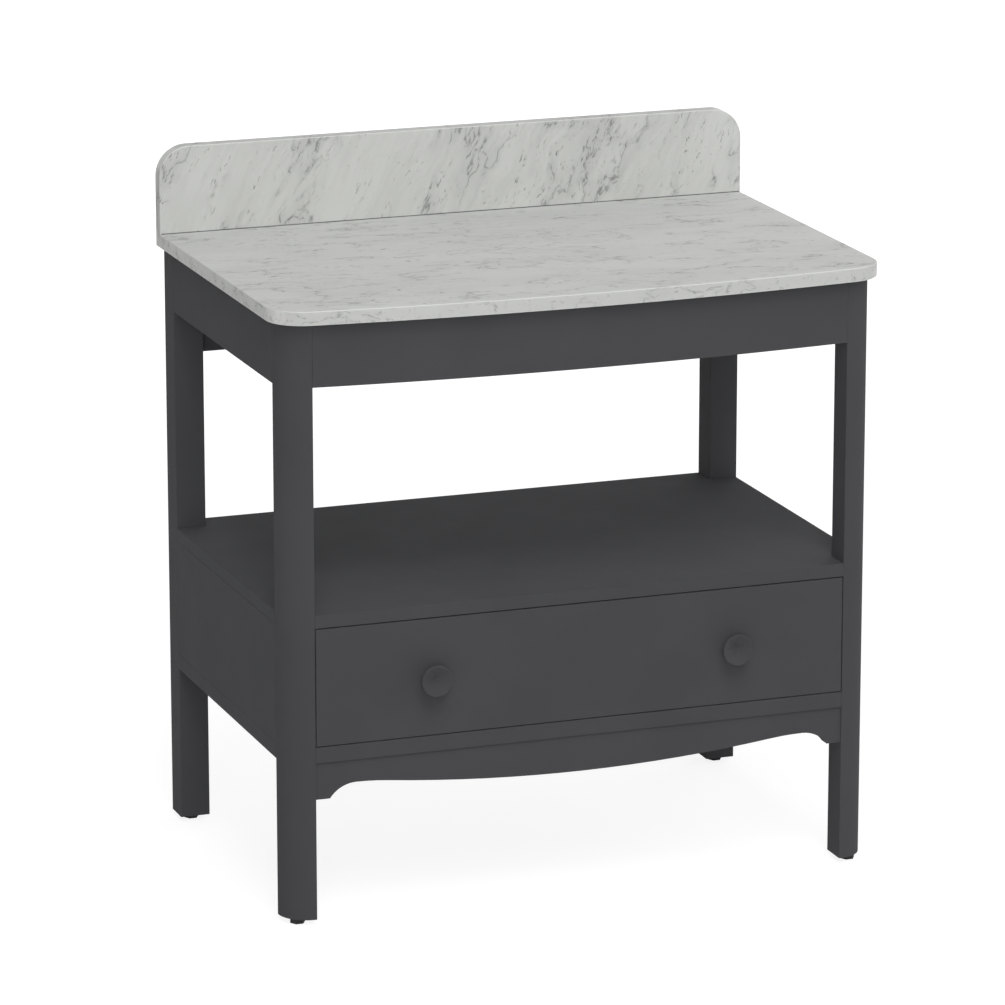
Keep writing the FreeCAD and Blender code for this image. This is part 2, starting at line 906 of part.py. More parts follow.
def save_case():
    save("shelf_board", case_board((shelf_bottom_z, shelf_top_height)))
    save("bottom_board", case_board((board_bottom_z, board_top_z)))
    save_pair("side_panel", side_panel())
    save("back_panel", back_panel())
    left = left_dowels(0)
    save("case_dowels", left + [mirrored(dowel) for dowel in left])
    save("apron", apron())
    save("apron_glue_blocks", glue_blocks())
    save_pair("runner_batten", batten())


def save_drawer():
    save("drawer_front", drawer_front())
    inner_front = drawer_end(box_front_y, 1)
    save("drawer_box_front", inner_front.cut(front_screws(screw_gap) + knob_screws(screw_gap)))
    save("drawer_box_back", drawer_end(box_back_y, -1))
    save_pair("drawer_box_side", drawer_side())
    save("drawer_base", base_panel(0))
    save_pair("knob", knob())
    save("knob_screws", knob_screws(0))
    save("drawer_front_screws", front_screws(0))


def save_runners():
    save_pair("runner_case", case_channel())
    save_pair("runner_middle", middle_channel())
    save_pair("runner_drawer", drawer_channel())
    cages = (
        ("case", (case_cage_start, case_cage_end), case_row),
        ("drawer", (drawer_cage_start, drawer_cage_end), drawer_row),
    )
    for name, ends, row in cages:
        save_pair(f"ball_cage_{name}", ball_cage(ends, row))
        left = balls(row)
        save(f"balls_{name}_left", left)
        save(f"balls_{name}_right", [mirrored(ball) for ball in left])
    case_screws = case_channel_screws(0)
    drawer_screws = drawer_channel_screws(0)
    save("runner_screws_case", case_screws + [mirrored(pin) for pin in case_screws])
    save("runner_screws_drawer", drawer_screws + [mirrored(pin) for pin in drawer_screws])


os.makedirs("parts", exist_ok=True)
save_frame()
save_case()
save_drawer()
save_runners()
save_feet()
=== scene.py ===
import logging
import math
from dataclasses import dataclass, field
from enum import Enum

import bpy
import numpy as np
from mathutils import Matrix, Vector


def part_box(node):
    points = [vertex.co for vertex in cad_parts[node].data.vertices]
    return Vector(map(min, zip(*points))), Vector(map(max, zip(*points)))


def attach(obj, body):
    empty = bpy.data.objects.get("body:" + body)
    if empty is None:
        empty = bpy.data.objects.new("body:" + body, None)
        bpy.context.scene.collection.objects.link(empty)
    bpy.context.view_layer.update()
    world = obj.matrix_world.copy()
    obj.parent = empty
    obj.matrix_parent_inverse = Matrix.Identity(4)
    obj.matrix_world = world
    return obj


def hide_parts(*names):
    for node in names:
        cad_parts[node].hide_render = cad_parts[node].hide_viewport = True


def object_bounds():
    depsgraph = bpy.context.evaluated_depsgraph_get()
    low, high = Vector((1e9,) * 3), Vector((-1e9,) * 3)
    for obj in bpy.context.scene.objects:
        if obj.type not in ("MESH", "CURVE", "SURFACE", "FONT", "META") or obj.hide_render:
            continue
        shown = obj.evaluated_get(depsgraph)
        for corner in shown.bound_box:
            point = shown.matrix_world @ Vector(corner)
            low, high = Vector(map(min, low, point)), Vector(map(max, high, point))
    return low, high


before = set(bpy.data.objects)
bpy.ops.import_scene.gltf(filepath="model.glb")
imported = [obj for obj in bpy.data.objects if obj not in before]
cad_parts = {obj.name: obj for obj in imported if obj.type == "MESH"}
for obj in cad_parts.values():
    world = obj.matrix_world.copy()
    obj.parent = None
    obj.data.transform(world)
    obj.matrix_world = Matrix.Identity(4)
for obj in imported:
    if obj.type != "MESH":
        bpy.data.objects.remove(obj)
cad_low, cad_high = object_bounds()

log = logging.getLogger("washstand")

WHITE = (1.0, 1.0, 1.0, 1.0)

# The sockets of a Mix node that mixes colours, by number.
MIX_SHARE, MIX_FIRST, MIX_SECOND, MIX_RESULT = 0, 6, 7, 2


def shade(red: int, green: int, blue: int) -> tuple[float, float, float, float]:
    """A colour as a screen shows it, in steps of 255, turned into the light it stands for.

    Each channel c becomes ((c + 0.055) / 1.055) to the power 2.4, the sRGB curve.

    Args:
        red, green, blue: The channels from 0 to 255.

    Returns:
        The linear colour with an alpha of 1.
    """
    channels = [((c / 255 + 0.055) / 1.055) ** 2.4 for c in (red, green, blue)]
    return (*channels, 1.0)


def direction(azimuth: float, elevation: float) -> Vector:
    """The way from the washstand to a viewpoint.

    With the azimuth a and the elevation e it is (sin a cos e, -cos a cos e, sin e).

    Args:
        azimuth: The turn from the front to the right, in degrees.
        elevation: The height above the horizon, in degrees.

    Returns:
        The direction, of length 1.
    """
    turn, rise = math.radians(azimuth), math.radians(elevation)
    level = math.cos(rise)
    return Vector((math.sin(turn) * level, -math.cos(turn) * level, math.sin(rise)))


class Grain(Enum):
    """Which way the figure of a material runs: its turn about X, Y and Z, in degrees."""

    WIDTH = (0.0, 0.0, 0.0)
    DEPTH = (0.0, 0.0, 90.0)
    HEIGHT = (0.0, -90.0, 0.0)
    SLAB = (4.0, 1.0, -5.0)
    UPSTAND = (8.0, -64.0, 4.0)


class Signal:
    """One output of a shader node, on which ordinary arithmetic adds Math nodes."""

    def __init__(self, recipe: "Recipe", socket: bpy.types.NodeSocket) -> None:
        """Wraps a socket of the recipe's node tree."""
        self.recipe = recipe
        self.socket = socket

    def _maths(self, operation: str, *values: object) -> "Signal":
        """Adds a Math node of that operation on those values."""
        node = self.recipe.node("ShaderNodeMath", {"operation": operation}, dict(enumerate(values)))
        return Signal(self.recipe, node.outputs[0])

    def __add__(self, other: object) -> "Signal":
        """This plus the other."""
        return self._maths("ADD", self, other)

    def __sub__(self, other: object) -> "Signal":
        """This less the other."""
        return self._maths("SUBTRACT", self, other)

    def __rsub__(self, other: object) -> "Signal":
        """The other less this."""
        return self._maths("SUBTRACT", other, self)

    def __mul__(self, other: object) -> "Signal":
        """This times the other."""
        return self._maths("MULTIPLY", self, other)

    __radd__ = __add__
    __rmul__ = __mul__

    def __abs__(self) -> "Signal":
        """The size of this, without its sign."""
        return self._maths("ABSOLUTE", self)

    def wrapped(self) -> "Signal":
        """The part of this after the decimal point."""
        return self._maths("FRACT", self)

    def larger(self, other: object) -> "Signal":
        """The larger of this and the other."""
        return self._maths("MAXIMUM", self, other)


class Recipe:
    """A node tree while it is being written: a material's or the world's."""

    def __init__(self, tree: bpy.types.NodeTree) -> None:
        """Starts from an empty tree."""
        self.tree = tree
        self.tree.nodes.clear()

    @classmethod
    def material(cls, name: str) -> tuple["Recipe", bpy.types.Material]:
        """A new material and the recipe that writes it."""
        made = bpy.data.materials.new(name)
        made.use_nodes = True
        return cls(made.node_tree), made

    def node(self, kind: str, settings: dict | None = None,
             sockets: dict | None = None) -> bpy.types.Node:
        """Adds any node.

        Args:
            kind: The node's type.
            settings: What is set on the node itself, before its sockets are.
            sockets: The value or the signal of each input, by name or number.

        Returns:
            The node.
        """
        node = self.tree.nodes.new(kind)
        for name, value in (settings or {}).items():
            setattr(node, name, value)
        for name, value in (sockets or {}).items():
            if isinstance(value, Signal):
                self.tree.links.new(value.socket, node.inputs[name])
            else:
                node.inputs[name].default_value = value
        return node

    def out(self, kind: str, output: str | int, settings: dict | None = None,
            sockets: dict | None = None) -> Signal:
        """Adds a node and gives one of its outputs."""
        return Signal(self, self.node(kind, settings, sockets).outputs[output])

    def place(self) -> Signal:
        """The point being shaded, in the frame, in metres."""
        return self.out("ShaderNodeTexCoord", "Object")

    def along(self, point: Signal, grain: Grain, spread: tuple[float, float, float],
              start: tuple[float, float, float] = (0.0, 0.0, 0.0)) -> Signal:
        """The point in a frame turned along the grain and counted in lengths of its own.

        Args:
            point: The point in metres.
            grain: The way the figure runs.
            spread: How long one step is along the grain and in the two directions across it.
            start: Where the counting starts, in metres.

        Returns:
            The turned and scaled point.
        """
        turn = tuple(math.radians(degrees) for degrees in grain.value)
        sockets = {"Vector": point, "Location": start, "Rotation": turn, "Scale": spread}
        return self.out("ShaderNodeMapping", 0, {"vector_type": "TEXTURE"}, sockets)

    def noise(self, point: Signal, detail: float = 2.0, roughness: float = 0.5,
              scale: float = 1.0) -> Signal:
        """Smooth noise about 0.5.

        Args:
            point: Where it is read.
            detail: How many finer layers it has.
            roughness: How strong each finer layer is beside the one before.
            scale: How many bumps there are to a step of the point.

        Returns:
            The noise, from 0 to 1.
        """
        sockets = {"Vector": point, "Scale": scale, "Detail": detail, "Roughness": roughness}
        return self.out("ShaderNodeTexNoise", "Fac", None, sockets)

    def stirred(self, point: Signal, size: float, reach: float) -> Signal:
        """The point pushed about by noise.

        Args:
            point: The point.
            size: How long one bump of the noise is, in steps of the point.
            reach: Twice the furthest that the point is pushed.

        Returns:
            The point plus the reach times the noise about 0.
        """
        sockets = {"Vector": point, "Scale": 1 / size, "Detail": 3.0, "Roughness": 0.55}
        push = self.out("ShaderNodeTexNoise", "Color", None, sockets)
        level = (0.5, 0.5, 0.5)
        centred = self.vector("SUBTRACT", {0: push, 1: level})
        scaled = self.vector("SCALE", {0: centred, "Scale": reach})
        return self.vector("ADD", {0: point, 1: scaled})

    def vector(self, operation: str, sockets: dict) -> Signal:
        """A Vector Math node's vector."""
        return self.out("ShaderNodeVectorMath", 0, {"operation": operation}, sockets)

    def length(self, vector: Signal) -> Signal:
        """How long a vector is."""
        return self.out("ShaderNodeVectorMath", "Value", {"operation": "LENGTH"}, {0: vector})

    def ramped(self, value: Signal, low: float, high: float) -> Signal:
        """0 below the low value, 1 above the high one, and an S curve in between."""
        settings = {"interpolation_type": "SMOOTHSTEP"}
        return self.out("ShaderNodeMapRange", 0, settings, {0: value, 1: low, 2: high})

    def tinted(self, share: object, first: object, second: object) -> Signal:
        """The first colour, turned into the second one by that share."""
        sockets = {MIX_SHARE: share, MIX_FIRST: first, MIX_SECOND: second}
        return self.out("ShaderNodeMix", MIX_RESULT, {"data_type": "RGBA"}, sockets)

    def bumped(self, height: Signal, depth: float) -> Signal:
        """The normal of a surface raised by that depth, in metres, where the height is 1."""
        sockets = {"Height": height, "Distance": depth, "Strength": 1.0}
        return self.out("ShaderNodeBump", 0, None, sockets)

    def facing(self) -> tuple[Signal, Signal, Signal]:
        """How far the face being shaded looks along X, Y and Z, each from -1 to 1."""
        normal = self.out("ShaderNodeNewGeometry", "Normal")
        parts = self.node("ShaderNodeSeparateXYZ", None, {0: normal})
        x, y, z = (Signal(self, parts.outputs[axis]) for axis in "XYZ")
        return x, y, z

    def light_path(self, *kinds: str) -> Signal:
        """1 for rays of those kinds, by the names of the Light Path node's outputs, or else 0."""
        path = self.node("ShaderNodeLightPath")
        seen = Signal(self, path.outputs[kinds[0]])
        for kind in kinds[1:]:
            seen = seen.larger(Signal(self, path.outputs[kind]))
        return seen

    def surface(self, colour: object, roughness: object, normal: Signal | None = None,
                **steady: object) -> None:
        """Ends the recipe in a shader.

        Args:
            colour: The base colour.
            roughness: The roughness.
            normal: The bumped normal, where there is one.
            steady: What is the same all over, by the socket's name with _ for a space.
        """
        sockets = {"Base Color": colour, "Roughness": roughness}
        if normal is not None:
            sockets["Normal"] = normal
        sockets.update({name.replace("_", " "): value for name, value in steady.items()})
        shader = self.out("ShaderNodeBsdfPrincipled", 0, None, sockets)
        self.node("ShaderNodeOutputMaterial", None, {"Surface": shader})


@dataclass(frozen=True)
class Marble:
    """Honed light grey marble: faint clouds, ragged veins that swell into smudges, and dark flecks.

    Each pair of sizes is how long one bump of a layer is along the grain and how wide across
    it, in metres.
    """

    name: str
    grain: Grain
    light: tuple = shade(206, 207, 204)
    cloud: tuple = shade(199, 200, 198)
    haze: tuple = shade(172, 173, 171)
    vein: tuple = shade(118, 118, 117)
    fleck: tuple = shade(112, 112, 111)
    # The colour of the painted highlight on the rounded upper edges.
    lighter_tone: tuple = shade(212, 213, 210)
    start: tuple[float, float, float] = (0.0, 0.0, 0.0)
    patches: tuple[float, float] = (0.24, 0.09)
    streaks: tuple[float, float] = (0.09, 0.010)
    vein_field: tuple[float, float] = (0.15, 0.050)
    swellings: tuple[float, float] = (0.050, 0.024)
    stretches: tuple[float, float] = (0.12, 0.050)
    grit: tuple[float, float] = (0.011, 0.0036)
    dashes: tuple[float, float] = (0.016, 0.0036)
    dash_groups: tuple[float, float] = (0.07, 0.035)
    blotches: tuple[float, float] = (0.012, 0.006)
    blotch_groups: float = 0.060
    strength: float = 0.95
    blot: float = 1.0
    # Share of painted shade, toward the haze colour, on upright faces that look forward.
    front_edge_shade: float = 0.0
    mottled: float = 0.0
    # How much of that painted highlight is laid on the rounded upper edges.
    painted_highlight_share: float = 0.8
    roughness: float = 0.58
    specular: float = 0.20
    honing_depth: float = 0.00002

    def layer(self, recipe: Recipe, point: Signal, size: tuple[float, float],
              detail: float, roughness: float) -> Signal:
        """One layer of noise.

        Args:
            recipe: The recipe that it goes into.
            point: Where it is read, in metres.
            size: How long one bump is along the grain and how wide across it.
            detail: How many finer layers it has.
            roughness: How strong each finer layer is beside the one before.

        Returns:
            The noise, from 0 to 1.
        """
        length, width = size
        turned = recipe.along(point, self.grain, (length, width, width), self.start)
        return recipe.noise(turned, detail, roughness)

    def clouds(self, recipe: Recipe, point: Signal) -> Signal:
        """Soft patches with long fine streaks in them, from 0 to 1."""
        patch = self.layer(recipe, point, self.patches, 3.0, 0.5)
        streak = self.layer(recipe, point, self.streaks, 4.0, 0.6)
        return recipe.ramped(patch * 0.55 + streak * 0.45, 0.36, 0.66)

    def veins(self, recipe: Recipe, point: Signal) -> tuple[Signal, Signal]:
        """The dark lines and specks, and the grey smudges round them.

        A vein runs where a field crosses its middle value. A second field swells it into
        smudges with specks in them, a third one leaves only stretches of it, and a fine gritty
        one breaks its line up. The blot share thins the smudges and their specks.
        """
        from_vein = abs(self.layer(recipe, point, self.vein_field, 3.0, 0.55) - 0.5)
        swelling = recipe.ramped(self.layer(recipe, point, self.swellings, 3.0, 0.6), 0.47, 0.64)
        stretch = recipe.ramped(self.layer(recipe, point, self.stretches, 3.0, 0.6), 0.45, 0.57)
        grit = self.layer(recipe, point, self.grit, 3.0, 0.65)
        hair = (1.0 - recipe.ramped(from_vein, 0.002, 0.016)) * recipe.ramped(grit, 0.38, 0.56)
        smudge = (1.0 - recipe.ramped(from_vein, 0.008, 0.060)) * swelling
        specks = smudge * recipe.ramped(grit, 0.50, 0.63) * self.blot
        dark = (hair * 0.75).larger(specks) * stretch
        soft = (1.0 - recipe.ramped(from_vein, 0.0, 0.12)) * 0.45
        return dark, soft.larger(smudge * recipe.ramped(grit, 0.30, 0.60)) * stretch * self.blot

    def flecks(self, recipe: Recipe, point: Signal) -> Signal:
        """Short dark dashes, as the peaks of a stretched field, in loose groups."""
        peaks = self.layer(recipe, point, self.dashes, 2.0, 0.6)
        group = self.layer(recipe, point, self.dash_groups, 3.0, 0.6)
        return recipe.ramped(peaks, 0.58, 0.74) * recipe.ramped(group, 0.44, 0.64)

    def mottle(self, recipe: Recipe, point: Signal) -> Signal:
        """Small upright blotches in loose groups, which a slab's sawn edge shows."""
        tall, wide = self.blotches
        spot = recipe.noise(recipe.along(point, Grain.HEIGHT, (tall, wide, wide)), 3.0, 0.65)
        group = recipe.noise(recipe.along(point, Grain.WIDTH, (self.blotch_groups,) * 3), 2.0, 0.5)
        return recipe.ramped(spot, 0.56, 0.72) * recipe.ramped(group, 0.38, 0.60)

    def faces(self, recipe: Recipe) -> tuple[Signal, Signal, Signal]:
        """Where the slab's face leans, stands upright or looks forward.

        Returns:
            1 on the rounded upper edges, whose faces lean and get the painted highlight, 1 on
            upright faces, and 1 on those that look forward; forward-looking upright faces get the
            painted shade.
        """
        _, back, rise = recipe.facing()
        painted_highlight_mask = recipe.ramped(rise, 0.15, 0.35) * (1.0 - recipe.ramped(rise, 0.88, 0.97))
        upright = 1.0 - recipe.ramped(abs(rise), 0.05, 0.25)
        return painted_highlight_mask, upright, recipe.ramped(0.0 - back, 0.55, 0.90)

    def made(self) -> bpy.types.Material:
        """The finished material."""
        recipe, material = Recipe.material(self.name)
        point = recipe.stirred(recipe.stirred(recipe.place(), 0.10, 0.040), 0.012, 0.004)
        colour = recipe.tinted(self.clouds(recipe, point), self.light, self.cloud)
        painted_highlight_mask, upright, forward = self.faces(recipe)
        # Painted shade: forward-looking upright faces are darkened, as the lamps light them more than
        # the top.
        colour = recipe.tinted(upright * forward * self.front_edge_shade, colour, self.haze)
        dark, smudge = self.veins(recipe, point)
        colour = recipe.tinted(smudge, colour, self.haze)
        colour = recipe.tinted(dark * self.strength, colour, self.vein)
        colour = recipe.tinted(self.flecks(recipe, point) * self.strength, colour, self.fleck)
        colour = recipe.tinted(self.mottle(recipe, point) * upright * self.mottled, colour, self.fleck)
        # Painted highlight: the rounded upper edges face the lamps above and are lightened here.
        colour = recipe.tinted(painted_highlight_mask * self.painted_highlight_share, colour, self.lighter_tone)
        polish = recipe.noise(recipe.place(), 3.0, 0.6, 90.0)
        normal = recipe.bumped(recipe.noise(recipe.place(), 2.0, 0.5, 1400.0), self.honing_depth)
        recipe.surface(colour, self.roughness + polish * 0.08, normal, Specular_IOR_Level=self.specular)
        return material


@dataclass(frozen=True)
class Eggshell:
    """Sprayed eggshell paint on sanded timber: a faint orange-peel skin and uneven sheen.

    The counts are bumps to a metre.
    """

    name: str = "charcoal_eggshell"
    colour: tuple = shade(69, 69, 71)
    lighter_tone: tuple = shade(71, 71, 73)
    drift_count: float = 7.0
    sheen_count: float = 24.0
    peel_count: float = 650.0
    fibre_count: float = 2600.0
    skin_depth: float = 0.00005
    roughness: float = 0.80
    sheen_spread: float = 0.12
    specular: float = 0.10
    diffuse_roughness: float = 0.3

    def made(self) -> bpy.types.Material:
        """The finished material."""
        recipe, material = Recipe.material(self.name)
        place = recipe.place()
        drift = recipe.ramped(recipe.noise(place, 3.0, 0.55, self.drift_count), 0.35, 0.65)
        colour = recipe.tinted(drift, self.colour, self.lighter_tone)
        peel = recipe.noise(place, 2.0, 0.5, self.peel_count)
        fibre = recipe.noise(place, 4.0, 0.6, self.fibre_count)
        normal = recipe.bumped(peel * 0.75 + fibre * 0.25, self.skin_depth)
        patches = recipe.noise(place, 3.0, 0.6, self.sheen_count) - 0.5
        recipe.surface(colour, self.roughness + patches * self.sheen_spread, normal,
                       Specular_IOR_Level=self.specular, Diffuse_Roughness=self.diffuse_roughness)
        return material


@dataclass(frozen=True)
class Timber:
    """Solid timber: growth rings about a pith that lies outside the board, pores and ray fleck."""

    name: str
    grain: Grain
    early: tuple
    late: tuple
    pith: tuple[float, float, float] = (0.0, 0.0, 0.0)
    ring: float = 0.0042
    roughness: float = 0.45
    specular: float = 0.35
    end: tuple = shade(140, 104, 70)
    end_share: float = 0.5
    pore_size: tuple[float, float, float] = (0.020, 0.0004, 0.0004)
    pore_depth: float = 0.00006
    broad_size: tuple[float, float, float] = (0.40, 0.035, 0.035)

    def sawn_end(self, recipe: Recipe) -> Signal:
        """1 where the face is sawn across the grain, which drinks more lacquer and is darker."""
        axis = {Grain.WIDTH: 0, Grain.DEPTH: 1, Grain.HEIGHT: 2}[self.grain]
        return recipe.ramped(abs(recipe.facing()[axis]), 0.75, 0.95)

    def late_wood(self, recipe: Recipe, point: Signal) -> Signal:
        """The dark part of each growth ring, from 0 to 1.

        The distance to the pith, counted in rings, gives a slow rise and a quick fall. Noise
        pushes the rings about, so that they wander.
        """
        across = recipe.along(point, self.grain, (self.ring * 8, self.ring, self.ring), self.pith)
        across = recipe.stirred(across, 20.0, 2.6)
        saw = recipe.length(recipe.vector("MULTIPLY", {0: across, 1: (0.0, 1.0, 1.0)})).wrapped()
        return recipe.ramped(saw, 0.35, 0.92) * (1.0 - recipe.ramped(saw, 0.93, 1.0))

    def made(self) -> bpy.types.Material:
        """The finished material."""
        recipe, material = Recipe.material(self.name)
        point = recipe.place()
        late = self.late_wood(recipe, point)
        pores = recipe.noise(recipe.along(point, self.grain, self.pore_size), 2.0, 0.7)
        broad = recipe.noise(recipe.along(point, self.grain, self.broad_size), 3.0, 0.5)
        share = late * 0.45 + recipe.ramped(pores, 0.48, 0.75) * 0.30 + (broad - 0.5) * 0.5
        colour = recipe.tinted(share, self.early, self.late)
        colour = recipe.tinted(self.sawn_end(recipe) * self.end_share, colour, self.end)
        normal = recipe.bumped(1.0 - pores, self.pore_depth)
        recipe.surface(colour, self.roughness + pores * 0.12, normal, Specular_IOR_Level=self.specular)
        return material


@dataclass(frozen=True)
class Plate:
    """Metal: rolled lines along its length, a cloudy plating and rubbed spots."""

    name: str
    grain: Grain
    colour: tuple
    dull: tuple
    roughness: float
    line_size: tuple[float, float, float] = (0.060, 0.0006, 0.0006)
    line_depth: float = 0.00002
    cloud_count: float = 70.0

    def made(self) -> bpy.types.Material:
        """The finished material."""
        recipe, material = Recipe.material(self.name)
        place = recipe.place()
        lines = recipe.noise(recipe.along(place, self.grain, self.line_size), 3.0, 0.6)
        cloud = recipe.noise(place, 3.0, 0.6, self.cloud_count)
        colour = recipe.tinted(recipe.ramped(cloud, 0.35, 0.70), self.colour, self.dull)
        rough = self.roughness + (lines - 0.5) * 0.16 + (cloud - 0.5) * 0.10
        recipe.surface(colour, rough, recipe.bumped(lines, self.line_depth), Metallic=1.0)
        return material


@dataclass(frozen=True)
class Moulded:
    """A plain moulded or trowelled material with a fine skin of so many bumps to a metre."""

    name: str
    colour: tuple
    pale: tuple
    roughness: float = 0.55
    skin_count: float = 900.0
    skin_depth: float = 0.00004
    drift_count: float = 160.0
    specular: float = 0.35

    def made(self) -> bpy.types.Material:
        """The finished material."""
        recipe, material = Recipe.material(self.name)
        place = recipe.place()
        drift = recipe.ramped(recipe.noise(place, 3.0, 0.6, self.drift_count), 0.40, 0.70)
        colour = recipe.tinted(drift, self.colour, self.pale)
        grain = recipe.noise(place, 2.0, 0.6, self.skin_count)
        normal = recipe.bumped(grain, self.skin_depth)
        recipe.surface(colour, self.roughness + grain * 0.10, normal, Specular_IOR_Level=self.specular)
        return material


@dataclass
class Skin:
    """Closed surfaces gathered into one mesh: their points and their faces."""

    points: list[np.ndarray] = field(default_factory=list)
    faces: list[list[int]] = field(default_factory=list)
    count: int = 0

    def add_rings(self, grid: np.ndarray) -> None:
        """Adds the closed surface through a stack of rings, capped at both ends.

        Point j of ring i is joined to point j + 1 and to the same two points of ring i + 1,
        with j counted round the ring, so rings that run anticlockwise up their axis face out.

        Args:
            grid: The points, as an array of rings by points by 3.
        """
        rings, around = grid.shape[:2]
        ring = self.count + np.arange(rings - 1)[:, None] * around
        here = np.arange(around)[None, :]
        there = (here + 1) % around
        corners = (ring + here, ring + there, ring + around + there, ring + around + here)
        self.faces += np.stack(corners, axis=-1).reshape(-1, 4).tolist()
        first = self.count + np.arange(around)
        last = first + (rings - 1) * around
        self.faces += [first[::-1].tolist(), last.tolist()]
        self.points.append(grid.reshape(-1, 3))
        self.count += rings * around

    def made(self, name: str, material: bpy.types.Material, crease: float = 35.0) -> bpy.types.Object:
        """The object with this skin.

        Args:
            name: The object's name.
            material: Its finish.
            crease: How sharp an edge is, in degrees, from which it isn't smoothed over.

        Returns:
            The object, linked to the scene.
        """
        mesh = bpy.data.meshes.new(name)
        mesh.from_pydata(np.concatenate(self.points).tolist(), [], self.faces)
        mesh.polygons.foreach_set("use_smooth", np.ones(len(mesh.polygons), bool))
        mesh.set_sharp_from_angle(angle=math.radians(crease))
        mesh.materials.append(material)
        mesh.update()
        piece = bpy.data.objects.new(name, mesh)
        bpy.context.scene.collection.objects.link(piece)
        return piece


def dress(names: list[str], material: bpy.types.Material) -> None:
    """Gives CAD nodes their material and logs which one each wears.

    Args:
        names: The nodes.
        material: Their finish.
    """
    for name in names:
        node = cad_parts[name]
        node.data.materials.clear()
        node.data.materials.append(material)
        log.info("%s wears %s", name, material.name)


def set_on(piece: bpy.types.Object, body: str,
           stands_for: str | None = None) -> None:
    """Lets a new piece ride on its body.

    Args:
        piece: The new piece.
        body: The body that carries it.
        stands_for: The CAD node that it replaces, where it does.
    """
    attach(piece, body)
    if stands_for:
        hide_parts(stands_for)
    log.info("%s rides on %s", piece.name, body)


@dataclass
class Stonework:
    """The marble worktop and upstand, and the sealed joint between them."""

    joint_radius: float = 0.0012
    joint_inset: float = 0.0015
    joint_steps: int = 5
    stations: int = 60
    ripple_share: float = 0.1
    ripple_waves: tuple[float, float] = (61.0, 23.0)

    def joint(self, material: bpy.types.Material) -> bpy.types.Object:
        """The fillet of sealant along the foot of the upstand.

        Its section is a hollow quarter circle of the joint's radius between the worktop and the
        upstand, carried along X. Its size is one plus a ripple, the share times the product of
        two sine waves along X, whose waves are given in radians to a metre.

        Args:
            material: Its finish.

        Returns:
            The fillet.
        """
        low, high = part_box("upstand")
        turn = np.linspace(0.0, math.pi / 2, self.joint_steps)
        radius = self.joint_radius
        hollow_y = low.y - radius + radius * np.sin(turn)
        hollow_z = low.z + radius - radius * np.cos(turn)
        section_y = np.append(hollow_y, low.y)
        section_z = np.append(hollow_z, low.z)
        x = np.linspace(low.x + self.joint_inset, high.x - self.joint_inset, self.stations)
        quick, slow = self.ripple_waves
        ripple = 1 + self.ripple_share * np.sin(x * quick) * np.sin(x * slow)
        grid = np.empty((self.stations, len(section_y), 3))
        grid[:, :, 0] = x[:, None]
        grid[:, :, 1] = low.y + (section_y - low.y)[None, :] * ripple[:, None]
        grid[:, :, 2] = low.z + (section_z - low.z)[None, :] * ripple[:, None]
        skin = Skin()
        skin.add_rings(grid)
        return skin.made("upstand_joint", material)

    def build(self) -> None:
        """Dresses the two slabs and adds the joint."""
        # The worktop's front edge gets painted shade.
        flat = Marble("worktop_marble", Grain.SLAB, strength=0.85, blot=0.40, front_edge_shade=0.60, mottled=0.65)
        dress(["worktop"], flat.made())
        upright = Marble("upstand_marble", Grain.UPSTAND, shade(198, 199, 196), shade(189, 190, 187),
                         start=(0.47, 0.0, 0.29))
        dress(["upstand"], upright.made())
        sealant = Moulded("joint_sealant", shade(84, 85, 84), shade(96, 97, 95), skin_count=400.0)
        set_on(self.joint(sealant.made()), "frame")


@dataclass
class Joinery:
    """The painted frame and case, and the bare timber behind it."""

    paint: bpy.types.Material

    def build(self) -> None:
        """Dresses every timber node of the frame."""
        painted = [f"leg_{row}_{side}" for row in ("front", "back") for side in ("left", "right")]
        painted += [f"top_rail_{place}" for place in ("front", "back", "left", "right")]
        painted += ["shelf_board", "bottom_board", "side_panel_left", "side_panel_right"]
        painted += ["back_panel", "apron"]
        dress(painted, self.paint)
        softwood = Timber("bare_softwood", Grain.DEPTH, shade(214, 186, 142), shade(186, 148, 100),
                          pith=(0.30, 0.0, 0.24), ring=0.0035, roughness=0.62, specular=0.2)
        bare = softwood.made()
        dress(["runner_batten_left", "runner_batten_right"], bare)
        dress(["apron_glue_blocks", "case_dowels"], bare)


@dataclass
class DrawerWork:
    """The drawer: painted front and knobs, lacquered box boards, each with its own figure."""

    paint: bpy.types.Material
    pale: tuple = shade(219, 197, 165)
    dark: tuple = shade(190, 158, 120)

    def board(self, node: str, grain: Grain, pith: tuple[float, float, float]) -> None:
        """Dresses one board of the box in timber cut from its own place in the log.

        Args:
            node: The board's CAD node.
            grain: The way its grain runs.
            pith: A point on the middle line of the log.
        """
        timber = Timber(f"{node}_timber", grain, self.pale, self.dark, pith)
        dress([node], timber.made())

    def build(self) -> None:
        """Dresses the drawer."""
        dress(["drawer_front", "knob_left", "knob_right"], self.paint)
        self.board("drawer_box_side_left", Grain.DEPTH, (-0.33, 0.0, 0.20))
        self.board("drawer_box_side_right", Grain.DEPTH, (0.41, 0.0, 0.46))
        self.board("drawer_box_front", Grain.WIDTH, (0.0, -0.29, 0.24))
        self.board("drawer_box_back", Grain.WIDTH, (0.0, 0.27, 0.43))
        self.board("drawer_base", Grain.WIDTH, (0.0, 0.10, 0.02))


class Tip(Enum):
    """How long the drawn point of a screw's thread is, in metres: none where it is cut square."""

    WOOD = 0.0045
    SQUARE = 0.0


